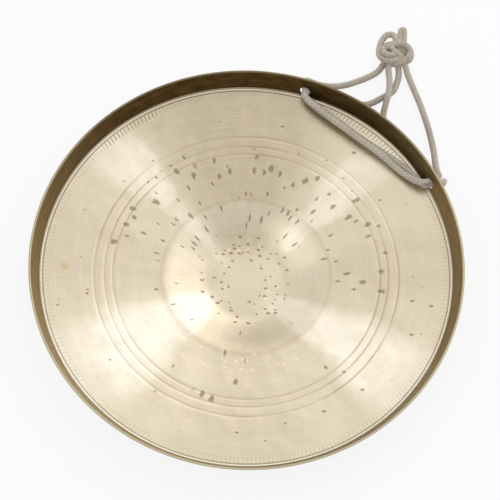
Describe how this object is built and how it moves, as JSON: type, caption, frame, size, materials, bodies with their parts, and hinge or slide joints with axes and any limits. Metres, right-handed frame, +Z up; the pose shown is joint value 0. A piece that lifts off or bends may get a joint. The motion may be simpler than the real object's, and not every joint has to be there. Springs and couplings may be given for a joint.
{
  "type": "chinese gong",
  "caption": "Hand-hammered bronze hand gong with a shallow flared rim, turned lines on its face and a knotted cotton carrying cord.",
  "frame": {"origin": "on the floor under the centre of the gong, which lies on the flat middle of its back", "axes": "+Z up, along the gong's own axis and towards its open side; the cord's holes lie between +X and +Y"},
  "size_m": [0.2994, 0.3523, 0.0325],
  "materials": {
    "bronze": "hammered and turned, brushed on the face, brown patina on the rim",
    "cotton_cord": "matte braided cotton"
  },
  "bodies": {
    "gong": {"gong_disc": "bronze", "cord_inside_high": "cotton_cord", "cord_inside_low": "cotton_cord"},
    "hanging_cord": {"cord_left_high": "cotton_cord", "cord_left_low": "cotton_cord", "cord_right_low": "cotton_cord", "cord_right_high": "cotton_cord", "cord_knot": "cotton_cord", "cord_large_loop": "cotton_cord", "cord_small_loop": "cotton_cord"}
  },
  "joints": [
    {"name": "cord_swing", "type": "hinge", "parent": "gong", "child": "hanging_cord", "pos_m": [0.08375, 0.11381, 0.01901], "axis": [0.8054, -0.5927, 0], "range_deg": [-60, 90]}
  ]
}
